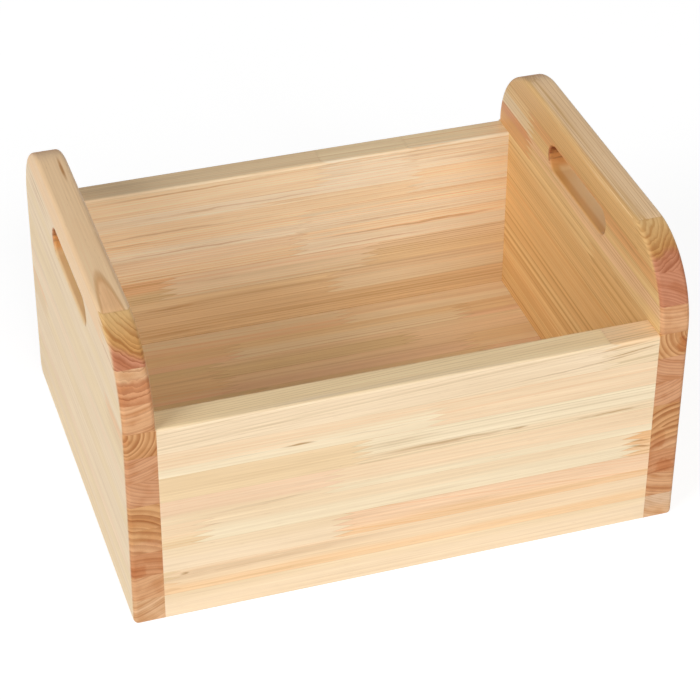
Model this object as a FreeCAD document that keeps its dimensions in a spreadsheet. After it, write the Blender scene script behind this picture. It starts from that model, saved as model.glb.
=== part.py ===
import FreeCAD, Part
import Sketcher
import os

# Picture book bin: two end panels with rounded shoulders and a hand slot, with a front
# board, a back board and a floor board between them. Each board is glued up from staves.
# +X is the length, from the left end to the right one. -Y is the front, +Z is up.
# The origin is at the middle of the underside. Millimetres.

doc = FreeCAD.newDocument("PictureBookBin")

drivingSizes = [
    ("overallLength", 360, "outside, across both end panels"),
    ("overallDepth", 280, "outside, front to back"),
    ("endHeight", 200, "end panels"),
    ("boardHeight", 145, "front and back boards"),
    ("boardThickness", 20, "stock of all five boards"),
    ("backShoulder", 2, "straight stretch of an end panel above the back board"),
    ("footRadius", 10, "lower back edge, right across the bin"),
    ("easedEdge", 1, "lower front edge, right across the bin"),
    ("endRounding", 3, "edges of the end panels"),
    ("boardRounding", 2, "top edges of the front and back boards"),
    ("gripLength", 96, "hand slot"),
    ("gripHeight", 19, "hand slot"),
    ("gripUnderSeam", 3.5, "upper edge of the slot, under the seam of the top stave"),
    ("gripRounding", 2, "lips of the slot"),
    ("endStaves", 11, "staves in an end panel"),
    ("boardStaves", 8, "staves in the front board and in the back board"),
    ("floorStaves", 13, "staves in the floor board"),
    ("dowelDiameter", 8, ""),
    ("dowelLength", 35, ""),
    ("dowelInEnd", 12, "how far a dowel sits in the end panel"),
    ("dowelChamfer", 1, ""),
    ("boreClearance", 0.1, "bore radius over dowel radius"),
    ("boreSpace", 1, "room for glue at each end of a dowel"),
    ("cutMargin", 5, "how far the stave cutters reach past the bin"),
]
sizes = doc.addObject("Spreadsheet::Sheet", "Sizes")
for row, (alias, number, note) in enumerate(drivingSizes, start=1):
    sizes.set("A%d" % row, alias)
    sizes.set("B%d" % row, str(number))
    sizes.set("C%d" % row, note)
    sizes.setAlias("B%d" % row, alias)
doc.recompute()

# Expressions that several pieces share
boardLength = "(Sizes.overallLength - 2 * Sizes.boardThickness)"
floorDepth = "(Sizes.overallDepth - 2 * Sizes.boardThickness)"
upperHeight = "(Sizes.endHeight - Sizes.boardHeight)"
endStave = "(Sizes.endHeight / Sizes.endStaves)"
boardStave = "(Sizes.boardHeight / Sizes.boardStaves)"
floorStave = "(%s / Sizes.floorStaves)" % floorDepth
boreRadius = "(Sizes.dowelDiameter / 2 + Sizes.boreClearance)"
nearly = 1e-4


def value(expression):
    """The number that an expression on the sheet gives."""
    return float(sizes.evalExpression(expression))


def bind(thing, expressions):
    """Tie properties of an object to the sheet."""
    for path, expression in expressions.items():
        thing.setExpression(path, expression)


def place(thing, x, y, z):
    bind(thing, {
        ".Placement.Base.x": x,
        ".Placement.Base.y": y,
        ".Placement.Base.z": z,
    })


def originPlane(body, role):
    return next(f for f in body.Origin.OriginFeatures if f.Role == role)


def addSketch(body, name):
    """A sketch on the body's YZ plane: its own x is Y, its own y is Z."""
    sketch = body.newObject("Sketcher::SketchObject", name)
    sketch.AttachmentSupport = [(originPlane(body, "YZ_Plane"), "")]
    sketch.MapMode = "FlatFace"
    return sketch


def constrain(sketch, name, expression, kind, *where):
    """A named dimension of a sketch, tied to the sheet."""
    index = sketch.addConstraint(Sketcher.Constraint(kind, *where, value(expression)))
    sketch.renameConstraint(index, name)
    sketch.setExpression("Constraints." + name, expression)


def drawRectangle(sketch, width, height):
    """A rectangle with one corner at the sketch's origin."""
    w, h = value(width), value(height)
    corners = [FreeCAD.Vector(*c, 0) for c in ((0, 0), (w, 0), (w, h), (0, h))]
    for i in range(4):
        sketch.addGeometry(Part.LineSegment(corners[i], corners[(i + 1) % 4]))
    for i in range(4):
        sketch.addConstraint(Sketcher.Constraint("Coincident", i, 2, (i + 1) % 4, 1))
        sketch.addConstraint(Sketcher.Constraint("Vertical" if i % 2 else "Horizontal", i))
    sketch.addConstraint(Sketcher.Constraint("Coincident", 0, 1, -1, 1))
    constrain(sketch, "width", width, "DistanceX", 0, 1, 0, 2)
    constrain(sketch, "height", height, "DistanceY", 1, 1, 1, 2)


def drawSlot(sketch, length, height, acrossMiddle, upMiddle):
    """A slot with round ends, lying along the sketch's x."""
    radius = value(height) / 2
    reach = value(length) / 2 - radius
    cx, cy = value(acrossMiddle), value(upMiddle)
    left = FreeCAD.Vector(cx - reach, cy, 0)
    right = FreeCAD.Vector(cx + reach, cy, 0)
    rise = FreeCAD.Vector(0, radius, 0)
    out = FreeCAD.Vector(radius, 0, 0)
    sketch.addGeometry(Part.LineSegment(left - rise, right - rise))
    sketch.addGeometry(Part.Arc(right - rise, right + out, right + rise))
    sketch.addGeometry(Part.LineSegment(right + rise, left + rise))
    sketch.addGeometry(Part.Arc(left + rise, left - out, left - rise))
    for i in range(4):
        sketch.addConstraint(Sketcher.Constraint("Tangent", i, 2, (i + 1) % 4, 1))
    sketch.addConstraint(Sketcher.Constraint("Horizontal", 0))
    constrain(sketch, "radius", "%s / 2" % height, "Radius", 1)
    constrain(sketch, "reach", "%s - %s" % (length, height), "DistanceX", 3, 3, 1, 3)
    constrain(sketch, "acrossEnd", "%s + (%s - %s) / 2" % (acrossMiddle, length, height),
              "DistanceX", -1, 1, 1, 3)
    constrain(sketch, "upMiddle", upMiddle, "DistanceY", -1, 1, 1, 3)


def edgeNames(feature, wanted):
    """Names of the feature's edges for which wanted(edge) is true."""
    return ["Edge%d" % n for n, edge in enumerate(feature.Shape.Edges, start=1) if wanted(edge)]


def roundEdges(body, name, radius, wanted):
    """A fillet on the chosen edges of the body's last feature."""
    base = body.Tip
    fillet = body.newObject("PartDesign::Fillet", name)
    fillet.Base = (base, edgeNames(base, wanted))
    fillet.setExpression("Radius", radius)
    doc.recompute()


def alongX(y, z):
    """True for an edge that runs along X at the given place."""
    def wanted(edge):
        box = edge.BoundBox
        straight = box.YLength < nearly and box.ZLength < nearly
        return straight and abs(box.YMin - y) < nearly and abs(box.ZMin - z) < nearly
    return wanted


def onFace(x, inner=None):
    """True for an edge in the plane at x, and inside the given y and z limits if any."""
    def wanted(edge):
        box = edge.BoundBox
        if box.XLength > nearly or abs(box.XMin - x) > nearly:
            return False
        if inner is None:
            return True
        yLow, yHigh, zLow, zHigh = inner
        return (box.YMin > yLow and box.YMax < yHigh) and (box.ZMin > zLow and box.ZMax < zHigh)
    return wanted


def boardBody(name, length, width, height, corners):
    """A board: a rectangle in YZ, padded along X, with its long corners rounded.

    corners gives the radius for "front bottom", "back bottom", "back top" or "front top".
    """
    body = doc.addObject("PartDesign::Body", name)
    sketch = addSketch(body, name + "Section")
    drawRectangle(sketch, width, height)
    pad = body.newObject("PartDesign::Pad", name + "Pad")
    pad.Profile = sketch
    pad.setExpression("Length", length)
    doc.recompute()
    for corner, radius in corners.items():
        y = value(width) if "back" in corner else 0
        z = value(height) if "top" in corner else 0
        title = name + corner.title().replace(" ", "")
        roundEdges(body, title, radius, alongX(y, z))
    return body


def endBody(name, outerFace, innerFace, innerRounded):
    """An end panel with its hand slot, and with its inner edges square or rounded."""
    body = boardBody(name, "Sizes.boardThickness", "Sizes.overallDepth", "Sizes.endHeight", {
        "front bottom": "Sizes.easedEdge",
        "back bottom": "Sizes.footRadius",
        "back top": "%s - Sizes.backShoulder" % upperHeight,
        "front top": upperHeight,
    })
    faces = (outerFace, innerFace) if innerRounded else (outerFace,)
    roundEdges(body, name + "Perimeter", "Sizes.endRounding",
               lambda edge: any(onFace(value(face))(edge) for face in faces))
    sketch = addSketch(body, name + "GripOutline")
    middle = "Sizes.endHeight - %s - Sizes.gripUnderSeam - Sizes.gripHeight / 2" % endStave
    drawSlot(sketch, "Sizes.gripLength", "Sizes.gripHeight", "Sizes.overallDepth / 2", middle)
    pocket = body.newObject("PartDesign::Pocket", name + "Grip")
    pocket.Profile = sketch
    pocket.Type = "ThroughAll"
    pocket.Midplane = True
    doc.recompute()
    halfLength = value("Sizes.gripLength / 2") + nearly
    halfHeight = value("Sizes.gripHeight / 2") + nearly
    y, z = value("Sizes.overallDepth / 2"), value(middle)
    around = (y - halfLength, y + halfLength, z - halfHeight, z + halfHeight)
    roundEdges(body, name + "GripLips", "Sizes.gripRounding",
               lambda edge: any(onFace(value(face), around)(edge) for face in (outerFace, innerFace)))
    return body


def dowel(name, x, y, z):
    """A dowel lying along X from x, with chamfered ends."""
    body = doc.addObject("PartDesign::Body", name)
    peg = body.newObject("PartDesign::AdditiveCylinder", name + "Peg")
    bind(peg, {"Radius": "Sizes.dowelDiameter / 2", "Height": "Sizes.dowelLength"})
    doc.recompute()
    chamfer = body.newObject("PartDesign::Chamfer", name + "Ends")
    chamfer.Base = (peg, edgeNames(peg, lambda edge: edge.BoundBox.ZLength < nearly))
    chamfer.setExpression("Size", "Sizes.dowelChamfer")
    body.Placement.Rotation = alongLength
    place(body, x, y, z)
    return body


def bore(name, x, y, z):
    """The hole for a dowel, with room for glue at both ends."""
    hole = doc.addObject("Part::Cylinder", name)
    bind(hole, {"Radius": boreRadius, "Height": "Sizes.dowelLength + 2 * Sizes.boreSpace"})
    hole.Placement.Rotation = alongLength
    place(hole, "%s - Sizes.boreSpace" % x, y, z)
    return hole


def compound(name, links):
    group = doc.addObject("Part::Compound", name)
    group.Links = links
    return group


def addPart(label, thing):
    """Names a finished piece and keeps it for export."""
    thing.Label = label
    parts.append(thing)


def slab(name, blank, axis, start, width):
    """What a board has between two planes square to Y or Z."""
    cutter = doc.addObject("Part::Box", "Cutter_" + name)
    span = {
        "Length": "Sizes.overallLength + 2 * Sizes.cutMargin",
        "Width": "Sizes.overallDepth + 2 * Sizes.cutMargin",
        "Height": "Sizes.endHeight + 2 * Sizes.cutMargin",
    }
    span["Height" if axis == "z" else "Width"] = width
    bind(cutter, span)
    x = "-Sizes.overallLength / 2 - Sizes.cutMargin"
    y = "-Sizes.overallDepth / 2 - Sizes.cutMargin"
    if axis == "z":
        place(cutter, x, y, start)
    else:
        place(cutter, x, start, "-Sizes.cutMargin")
    piece = doc.addObject("Part::Common", "Slab_" + name)
    piece.Base = blank
    piece.Tool = cutter
    return piece


def cutStaves(label, blank, axis, start, width, count):
    """Staves of one even width, from the start upwards or backwards."""
    for n in range(count):
        title = "%s_stave_%02d" % (label, n + 1)
        at = "%s + %d * %s" % (start, n, width)
        addPart(title, slab(title, blank, axis, at, width))


alongLength = FreeCAD.Rotation(FreeCAD.Vector(0, 1, 0), 90)
parts = []

# The five boards before they are cut into staves
leftX = "-Sizes.overallLength / 2"
rightX = "Sizes.overallLength / 2 - Sizes.boardThickness"
frontY = "-Sizes.overallDepth / 2"
backY = "Sizes.overallDepth / 2 - Sizes.boardThickness"
topCorners = {"back top": "Sizes.boardRounding", "front top": "Sizes.boardRounding"}

frontBoard = boardBody("FrontBoard", boardLength, "Sizes.boardThickness", "Sizes.boardHeight",
                       {"front bottom": "Sizes.easedEdge", **topCorners})
place(frontBoard, "-%s / 2" % boardLength, frontY, "0")
backBoard = boardBody("BackBoard", boardLength, "Sizes.boardThickness", "Sizes.boardHeight",
                      {"back bottom": "Sizes.footRadius", **topCorners})
place(backBoard, "-%s / 2" % boardLength, backY, "0")
floorBoard = boardBody("FloorBoard", boardLength, floorDepth, "Sizes.boardThickness", {})
place(floorBoard, "-%s / 2" % boardLength, "-%s / 2" % floorDepth, "0")

# Beside the boards an end panel's inner edges are square and flush, above them they are rounded
ends = {}
for side, endX, outer, inner in (("Left", leftX, "0", "Sizes.boardThickness"),
                                 ("Right", rightX, "Sizes.boardThickness", "0")):
    square = endBody(side + "EndSquare", outer, inner, False)
    rounded = endBody(side + "EndRounded", outer, inner, True)
    for body in (square, rounded):
        place(body, endX, frontY, "0")
    end = doc.addObject("Part::Fuse", side + "End")
    end.Base = slab(side + "Below", square, "z", "0", "Sizes.boardHeight")
    end.Tool = slab(side + "Above", rounded, "z", "Sizes.boardHeight", upperHeight)
    end.Refine = True
    ends[side] = end

# Dowels from each end panel into three staves of each board and of the floor
endStaves = round(value("Sizes.endStaves"))
boardStaves = round(value("Sizes.boardStaves"))
floorStaves = round(value("Sizes.floorStaves"))
dowelStartX = {
    "left": "-Sizes.overallLength / 2 + Sizes.boardThickness - Sizes.dowelInEnd",
    "right": "Sizes.overallLength / 2 - Sizes.boardThickness + Sizes.dowelInEnd - Sizes.dowelLength",
}
doweledInBoard = (1, boardStaves // 2, boardStaves - 1)
doweledInFloor = (2, (floorStaves + 1) // 2, floorStaves - 1)
boardRows = ["%s * %.1f" % (boardStave, n - 0.5) for n in doweledInBoard]
floorRows = ["-%s / 2 + %s * %.1f" % (floorDepth, floorStave, n - 0.5) for n in doweledInFloor]
halfBoard = "Sizes.boardThickness / 2"
dowelPlaces = {
    "front": [("%s + %s" % (frontY, halfBoard), z) for z in boardRows],
    "back": [("%s + %s" % (backY, halfBoard), z) for z in boardRows],
    "floor": [(y, halfBoard) for y in floorRows],
}
bores = []
for where, places in dowelPlaces.items():
    for side, x in dowelStartX.items():
        group = []
        for n, (y, z) in enumerate(places, start=1):
            title = "%s%s%d" % (where.title(), side.title(), n)
            group.append(dowel("Dowel" + title, x, y, z))
            bores.append(bore("Bore" + title, x, y, z))
        addPart("dowels_%s_%s" % (where, side), compound("Dowels%s%s" % (where, side), group))
allBores = compound("AllBores", bores)


def bored(body):
    """The board with its dowel holes."""
    cut = doc.addObject("Part::Cut", body.Name + "Bored")
    cut.Base = body
    cut.Tool = allBores
    return cut


for side, end in ends.items():
    cutStaves(side.lower() + "_end", bored(end), "z", "0", endStave, endStaves)
cutStaves("front_board", bored(frontBoard), "z", "0", boardStave, boardStaves)
cutStaves("back_board", bored(backBoard), "z", "0", boardStave, boardStaves)
cutStaves("floor_board", bored(floorBoard), "y", "-%s / 2" % floorDepth, floorStave, floorStaves)
doc.recompute()

for thing in doc.Objects:
    if "Invalid" in thing.State or "Error" in thing.State:
        raise RuntimeError("%s did not build" % thing.Label)
for part in parts:
    if part.Shape.isNull() or not part.Shape.isValid():
        raise RuntimeError("%s has no valid shape" % part.Label)

os.makedirs("parts", exist_ok=True)
for part in parts:
    part.Shape.exportStep("parts/%s.step" % part.Label)
    print("%-24s %3d solid(s) %10.0f mm3" % (part.Label, len(part.Shape.Solids), part.Shape.Volume))
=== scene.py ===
import math
import random

import bpy
from mathutils import Matrix, Vector


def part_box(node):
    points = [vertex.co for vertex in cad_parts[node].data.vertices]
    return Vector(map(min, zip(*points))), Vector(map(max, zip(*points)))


# A picture book bin of edge-glued softwood. Every stave is a node of the frame and gets a material
# of its own, put together from the same few node groups. Inside them lengths are in millimetres:
# along the stave, across it (from seam to seam) and through it (from face to face).

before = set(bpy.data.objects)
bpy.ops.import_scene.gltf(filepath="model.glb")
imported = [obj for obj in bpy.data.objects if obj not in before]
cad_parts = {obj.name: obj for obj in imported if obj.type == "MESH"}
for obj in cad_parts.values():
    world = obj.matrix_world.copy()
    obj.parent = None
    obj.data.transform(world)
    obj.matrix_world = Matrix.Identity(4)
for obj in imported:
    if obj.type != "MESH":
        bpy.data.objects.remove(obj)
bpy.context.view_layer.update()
print("frame loaded:", len(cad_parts), "nodes")

mm = 0.001

tones = {  # planed face grain, as sRGB
    "milk": (253, 236, 206),
    "white": (249, 229, 194),
    "pale": (250, 225, 190),
    "cream": (248, 222, 184),
    "butter": (255, 226, 178),
    "blond": (255, 231, 193),
    "straw": (247, 220, 176),
    "tan": (243, 213, 169),
    "olive": (238, 212, 166),
    "peach": (249, 220, 182),
    "pink": (246, 212, 176),
    "salmon": (249, 212, 174),
    "amber": (252, 214, 167),
    "apricot": (247, 206, 159),
    "copper": (248, 199, 146),
    "golden": (244, 206, 145),
    "honey": (238, 194, 131),
    "orange": (236, 182, 122),
    "rust": (228, 166, 116),
}
endTones = {  # the same wood where the grain is cut square and its pores stand open
    "shell": (222, 188, 154),
    "bone": (222, 180, 138),
    "buff": (218, 167, 122),
    "ochre": (214, 162, 110),
    "gold": (201, 149, 87),
    "salmon": (213, 159, 118),
    "russet": (207, 148, 103),
    "brick": (196, 132, 97),
}
lineTones = {  # what a full late ring leaves of the tone
    "brown": (0.74, 0.60, 0.42),
    "grey": (0.74, 0.69, 0.57),
    "rose": (0.94, 0.77, 0.61),
}
pitchTones = {  # what a pitch streak leaves of the tone: grey-brown in the pale front board
    "front": (0.56, 0.42, 0.27),
    "back": (0.60, 0.36, 0.15),
    "end": (0.56, 0.38, 0.20),
    "floor": (0.60, 0.40, 0.22),
}
wood = {
    "endLine": (0.66, 0.50, 0.38),
    "stainTone": (0.88, 0.74, 0.60),   # resin-rich years of the end grain
    "resinTone": (0.84, 0.64, 0.47),   # and patches soaked with resin
    "shadeWarmth": (0.75, 1.0, 1.35),  # darker wood is redder too
    "heartEdge": (0.78, 0.67, 0.54),   # around the darker heart
    "heartEdgeStrength": 0.9,
    "seamTone": (0.84, 0.74, 0.62),
    "fleckTone": (0.66, 0.54, 0.40),
    "fleckStrength": 0.3,
    "cloudShare": 0.4,                 # of the resin in the end grain; the rest lies in bands of years
    "endLift": 1.04,                   # the end grain as a whole
    "glueTone": (0.56, 0.42, 0.27),
    # edges made lighter: wear, and a painted highlight on their rounding
    "wearAndHighlightTone": (1.02, 1.01, 1.0),
    "fingerReach": 14.0,               # finger joint, tip to root
    "fingerPitch": 4.5,
    "roughness": 0.5,
    "specular": 0.35,
    "bumpDepth": 0.00025,
    "bumpStrength": 0.35,
}
grain = {  # how fine each pattern is: its repeats per mm along, across and through the stave
    "stray": (0.006, 0.03, 0.03),
    "curl": (0.02, 0.17, 0.17),
    "mottle": (0.010, 0.10, 0.10),
    "band": (0.006, 0.27, 0.27),
    "streak": (0.009, 0.80, 0.80),
    "fibre": (0.05, 5.0, 5.0),
    "speck": (0.5, 3.2, 3.2),
    "cloud": (0.05, 0.11, 0.11),
    "duct": (0.11, 1.7, 1.7),
    "waver": (0.035, 0.2, 0.2),
    "broken": (0.05, 0.8, 0.8),
    "glue": (0.03, 0.0, 0.2),
    "rubbed": (0.05, 0.1, 0.1),
    "soaked": (0.1, 0.3, 0.3),
    "handled": (0.06, 0.12, 0.12),
    "tornEndShade": (0.3, 0.5, 0.12),
}
shading = {  # how much of the tone each pattern moves, up and down together
    "band": 0.18,
    "streak": 0.34,
    "mottle": 0.16,
    "fibre": 0.2,
    "pore": 0.34,
    "stain": -0.3,                     # stained years are the darker ones
}
relief = {"line": 0.5, "fibre": 0.6, "speck": 1.2, "duct": 0.4}      # shares of the bump's depth
gloss = {"streak": 0.2, "cut": 0.14, "line": 0.08, "wearAndPaintedLight": 0.1}      # how far each moves the roughness
wobble = {"border": 7.0, "pitch": 3.0, "soaked": 1.6}                # how far noise moves an outline
growth = {
    "spells": 0.7,                     # good and lean spells, per year
    "unevenness": 1.1,                 # how many years they move a ring by
    "bands": 0.19,                     # stained bands of years, per mm
}
onset = {  # where a pattern sets in: none of it at the first value, all of it at the second
    "border": (-2.5, 2.5),             # mm about the line between the two tones
    "endBorder": (-2.0, 2.0),
    "heart": (0.3, -0.5),              # mm outside the heart's radius
    "heartEdge": (1.0, 0.15),          # mm from it
    "duct": (0.70, 0.78),
    "stained": (0.42, 0.66),
    "cut": (0.08, 0.6),                # how squarely the surface cuts the grain
    "glueLine": (0.3, 0.05),           # mm beside the zigzag
    "pitch": (1.0, 0.2),               # shares of the streak's half size
    "broken": (0.24, 0.46),
    "seam": (0.35, 0.02),              # mm from the stave's border
    "seamSide": (0.3, 0.1),
    "glue": (0.35, 0.65, 0.15, 0.75),  # between these two strengths
    "rubbed": (0.3, 0.6),
    "soaked": (1.15, 0.5),             # shares of the patch's half size
}
lateFace = {"from": 0.46, "full": 0.87, "gone": 0.92, "weakest": 0.3}  # the late wood's share of a year
lateCut = {"from": 0.1, "full": 0.82, "gone": 0.88, "weakest": 0.5}    # and on the end grain
seeds = {"first": 1.0, "perStave": 1.37, "perBlock": 0.61, "spread": 37.7}


def linear(rgb):
    parts = [v / 255 for v in rgb]
    return (*[c / 12.92 if c <= 0.04045 else ((c + 0.055) / 1.055) ** 2.4 for c in parts], 1.0)


def opaque(rgb):
    return (*rgb, 1.0)


# Short ways to place nodes. An input is given as a plain value or as another node's socket.
nodeSpacing = 190


def feed(tree, socket, v):
    if isinstance(v, bpy.types.NodeSocket):
        tree.links.new(v, socket)
    else:
        socket.default_value = v


def addNode(tree, kind, inputs=None, **settings):
    node = tree.nodes.new(kind)
    node.location.x = nodeSpacing * len(tree.nodes)
    for name, v in settings.items():
        setattr(node, name, v)
    for key, v in (inputs or {}).items():
        feed(tree, node.inputs[key], v)
    return node


def maths(tree, operation, *values):
    return addNode(tree, "ShaderNodeMath", dict(enumerate(values)), operation=operation).outputs[0]


def vectorMaths(tree, operation, *values):
    node = addNode(tree, "ShaderNodeVectorMath", dict(enumerate(values)), operation=operation)
    return node.outputs["Value" if operation == "LENGTH" else "Vector"]


def ramp(tree, v, low, high, toLow=0.0, toHigh=1.0):
    names = {"Value": v, "From Min": low, "From Max": high, "To Min": toLow, "To Max": toHigh}
    return addNode(tree, "ShaderNodeMapRange", names, interpolation_type="SMOOTHSTEP").outputs[0]


def mixColour(tree, factor, a, b, blend="MIX"):
    names = {0: factor, 6: a, 7: b}
    return addNode(tree, "ShaderNodeMix", names, data_type="RGBA", blend_type=blend).outputs[2]


def mixValue(tree, factor, a, b):
    return addNode(tree, "ShaderNodeMix", {0: factor, 2: a, 3: b}, data_type="FLOAT").outputs[0]


def tint(tree, factor, colour, tone):
    # a tone laid over a colour as a clear stain is
    return mixColour(tree, factor, colour, tone, "MULTIPLY")


def noise(tree, place, stretch, detail=2.0, output="Fac"):
    names = {"Vector": vectorMaths(tree, "MULTIPLY", place, stretch), "Scale": 1.0, "Detail": detail}
    return addNode(tree, "ShaderNodeTexNoise", names).outputs[output]


def combine(tree, x, y, z):
    return addNode(tree, "ShaderNodeCombineXYZ", {0: x, 1: y, 2: z}).outputs[0]


def separate(tree, vector):
    return addNode(tree, "ShaderNodeSeparateXYZ", {0: vector}).outputs


def swing(tree, v, amount):
    # noise about its middle, times an amount
    return maths(tree, "MULTIPLY", maths(tree, "SUBTRACT", v, 0.5), amount)


def newMaterial(name):
    material = bpy.data.materials.new(name)
    material.use_nodes = True
    material.node_tree.nodes.clear()
    return material, material.node_tree


def newGroup(name, inputs, outputs):
    tree = bpy.data.node_groups.new(name, "ShaderNodeTree")
    for label, kind, start in inputs:
        socket = tree.interface.new_socket(label, in_out="INPUT", socket_type="NodeSocket" + kind)
        socket.default_value = start
    for label, kind in outputs:
        tree.interface.new_socket(label, in_out="OUTPUT", socket_type="NodeSocket" + kind)
    given = tree.nodes.new("NodeGroupInput").outputs
    return tree, given


def closeGroup(tree, results):
    addNode(tree, "NodeGroupOutput", results)
    return tree


def useGroup(tree, group, inputs):
    return addNode(tree, "ShaderNodeGroup", inputs, node_tree=group).outputs


def makeWoodBlock():
    # One block of a stave: growth rings about a pith line that leans and wanders. The same rings
    # make the face grain, the edge grain and the end grain, so that they meet at the edges.
    zero = (0.0, 0.0, 0.0)
    tree, given = newGroup("woodBlock", [
        ("Place", "Vector", zero),
        ("Facing", "Float", 0.0),            # 1 where the surface cuts the grain square
        ("Low tone", "Color", linear(tones["cream"])),
        ("High tone", "Color", linear(tones["cream"])),
        ("Low end", "Color", linear(endTones["buff"])),
        ("High end", "Color", linear(endTones["buff"])),
        ("Split", "Float", 0.0),             # where across the stave one tone gives way to the other
        ("Slant", "Float", 0.0),             # how that line drops from face to face
        ("Skew", "Float", 0.0),              # and from end to end
        ("Mingle", "Float", 5.0),            # how far streaks carry the two tones into each other
        ("Figure", "Float", 1.0),            # strength of the streaks
        ("Pith", "Vector", (0.0, 60.0, 0.0)),
        ("Lean", "Vector", (0.0, 0.01, 0.0)),
        ("Ring", "Float", 2.2),
        ("Wander", "Float", 2.0),
        ("Curl", "Float", 0.3),              # short waves, as beside a knot
        ("Heart", "Float", -5.0),            # radius of the darker heart
        ("Heart tone", "Color", linear(tones["tan"])),
        ("Line tone", "Color", opaque(lineTones["brown"])),
        ("Lines", "Float", 0.5),
        ("End lines", "Float", 0.8),
        ("Seed", "Float", 0.0),
    ], [("Colour", "Color"), ("Height", "Float"), ("Rough", "Float")])

    shift = maths(tree, "MULTIPLY", given["Seed"], seeds["spread"])
    own = vectorMaths(tree, "ADD", given["Place"], combine(tree, shift, shift, shift))
    along, across, through = separate(tree, given["Place"])

    # rings
    half = (0.5, 0.5, 0.5)
    stray = vectorMaths(tree, "SUBTRACT", noise(tree, own, grain["stray"], 2.0, "Color"), half)
    curl = vectorMaths(tree, "SUBTRACT", noise(tree, own, grain["curl"], 2.0, "Color"), half)
    wander = combine(tree, given["Wander"], given["Wander"], given["Wander"])
    curling = combine(tree, given["Curl"], given["Curl"], given["Curl"])
    here = vectorMaths(tree, "MULTIPLY_ADD", stray, wander, given["Place"])
    here = vectorMaths(tree, "MULTIPLY_ADD", curl, curling, here)
    pith = vectorMaths(tree, "MULTIPLY_ADD", given["Lean"], combine(tree, along, along, along), given["Pith"])
    away = vectorMaths(tree, "MULTIPLY", vectorMaths(tree, "SUBTRACT", here, pith), (0.0, 1.0, 1.0))
    away = vectorMaths(tree, "LENGTH", away)
    years = maths(tree, "DIVIDE", away, given["Ring"])
    weather = addNode(tree, "ShaderNodeTexNoise", {
        "W": maths(tree, "ADD", maths(tree, "MULTIPLY", years, growth["spells"]), shift),
        "Scale": 1.0, "Detail": 1.0,
    }, noise_dimensions="1D").outputs["Fac"]
    years = maths(tree, "ADD", years, swing(tree, weather, growth["unevenness"]))
    year = maths(tree, "FLOOR", years)
    season = maths(tree, "FRACT", years)
    vigour = addNode(tree, "ShaderNodeTexWhiteNoise", {
        "W": maths(tree, "ADD", year, shift)}, noise_dimensions="1D").outputs["Value"]

    def lateWood(share):
        grown = ramp(tree, season, share["from"], share["full"])
        grown = maths(tree, "MULTIPLY", grown, ramp(tree, season, 1.0, share["gone"]))
        return maths(tree, "MULTIPLY", grown, ramp(tree, vigour, 0.0, 1.0, share["weakest"], 1.0))

    late = lateWood(lateFace)
    lateEnd = lateWood(lateCut)

    # softer figure: mottling, streaks, fibres and the short dark flecks of resin ducts
    mottle = noise(tree, own, grain["mottle"])
    band = noise(tree, own, grain["band"])
    streaks = noise(tree, own, grain["streak"], 3.0)
    fibre = noise(tree, own, grain["fibre"])
    speck = noise(tree, own, grain["speck"])
    cloud = noise(tree, own, grain["cloud"], 1.0)
    broad = addNode(tree, "ShaderNodeTexNoise", {
        "W": maths(tree, "MULTIPLY_ADD", away, growth["bands"], shift), "Scale": 1.0, "Detail": 2.0,
    }, noise_dimensions="1D").outputs["Fac"]
    duct = ramp(tree, noise(tree, own, grain["duct"], 1.0), *onset["duct"])

    # tone
    edge = maths(tree, "ADD", across, swing(tree, mottle, wobble["border"]))
    edge = maths(tree, "MULTIPLY_ADD", through, given["Slant"], edge)
    edge = maths(tree, "MULTIPLY_ADD", along, given["Skew"], edge)
    edge = maths(tree, "SUBTRACT", edge, given["Split"])
    stripes = maths(tree, "ADD", swing(tree, streaks, 1.0), swing(tree, band, 1.0))
    side = ramp(tree, maths(tree, "MULTIPLY_ADD", stripes, given["Mingle"], edge), *onset["border"])
    tone = mixColour(tree, side, given["Low tone"], given["High tone"])
    core = maths(tree, "SUBTRACT", away, given["Heart"])
    tone = mixColour(tree, ramp(tree, core, *onset["heart"]), tone, given["Heart tone"])
    rim = ramp(tree, maths(tree, "ABSOLUTE", core), *onset["heartEdge"])
    rim = maths(tree, "MULTIPLY", rim, wood["heartEdgeStrength"])
    tone = tint(tree, rim, tone, opaque(wood["heartEdge"]))
    shade = maths(tree, "ADD", swing(tree, band, shading["band"]), swing(tree, streaks, shading["streak"]))
    shade = maths(tree, "MULTIPLY_ADD", shade, given["Figure"], swing(tree, mottle, shading["mottle"]))
    shade = maths(tree, "ADD", shade, swing(tree, fibre, shading["fibre"]))
    shade = combine(tree, shade, shade, shade)
    shade = vectorMaths(tree, "MULTIPLY_ADD", shade, wood["shadeWarmth"], (1.0, 1.0, 1.0))
    tone = tint(tree, 1.0, tone, shade)

    faceLine = maths(tree, "MULTIPLY", late, given["Lines"])
    face = tint(tree, faceLine, tone, given["Line tone"])
    fleck = maths(tree, "MULTIPLY", duct, wood["fleckStrength"])
    face = tint(tree, fleck, face, opaque(wood["fleckTone"]))

    endLine = maths(tree, "MULTIPLY", lateEnd, given["End lines"])
    end = mixColour(tree, ramp(tree, edge, *onset["endBorder"]), given["Low end"], given["High end"])
    stained = mixValue(tree, wood["cloudShare"], broad, cloud)
    patch = swing(tree, stained, shading["stain"])
    end = tint(tree, ramp(tree, stained, *onset["stained"]), end, opaque(wood["stainTone"]))
    end = tint(tree, endLine, end, opaque(wood["endLine"]))
    pores = maths(tree, "ADD", swing(tree, speck, shading["pore"]), patch)
    pores = maths(tree, "ADD", pores, wood["endLift"])
    end = tint(tree, 1.0, end, combine(tree, pores, pores, pores))

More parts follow.
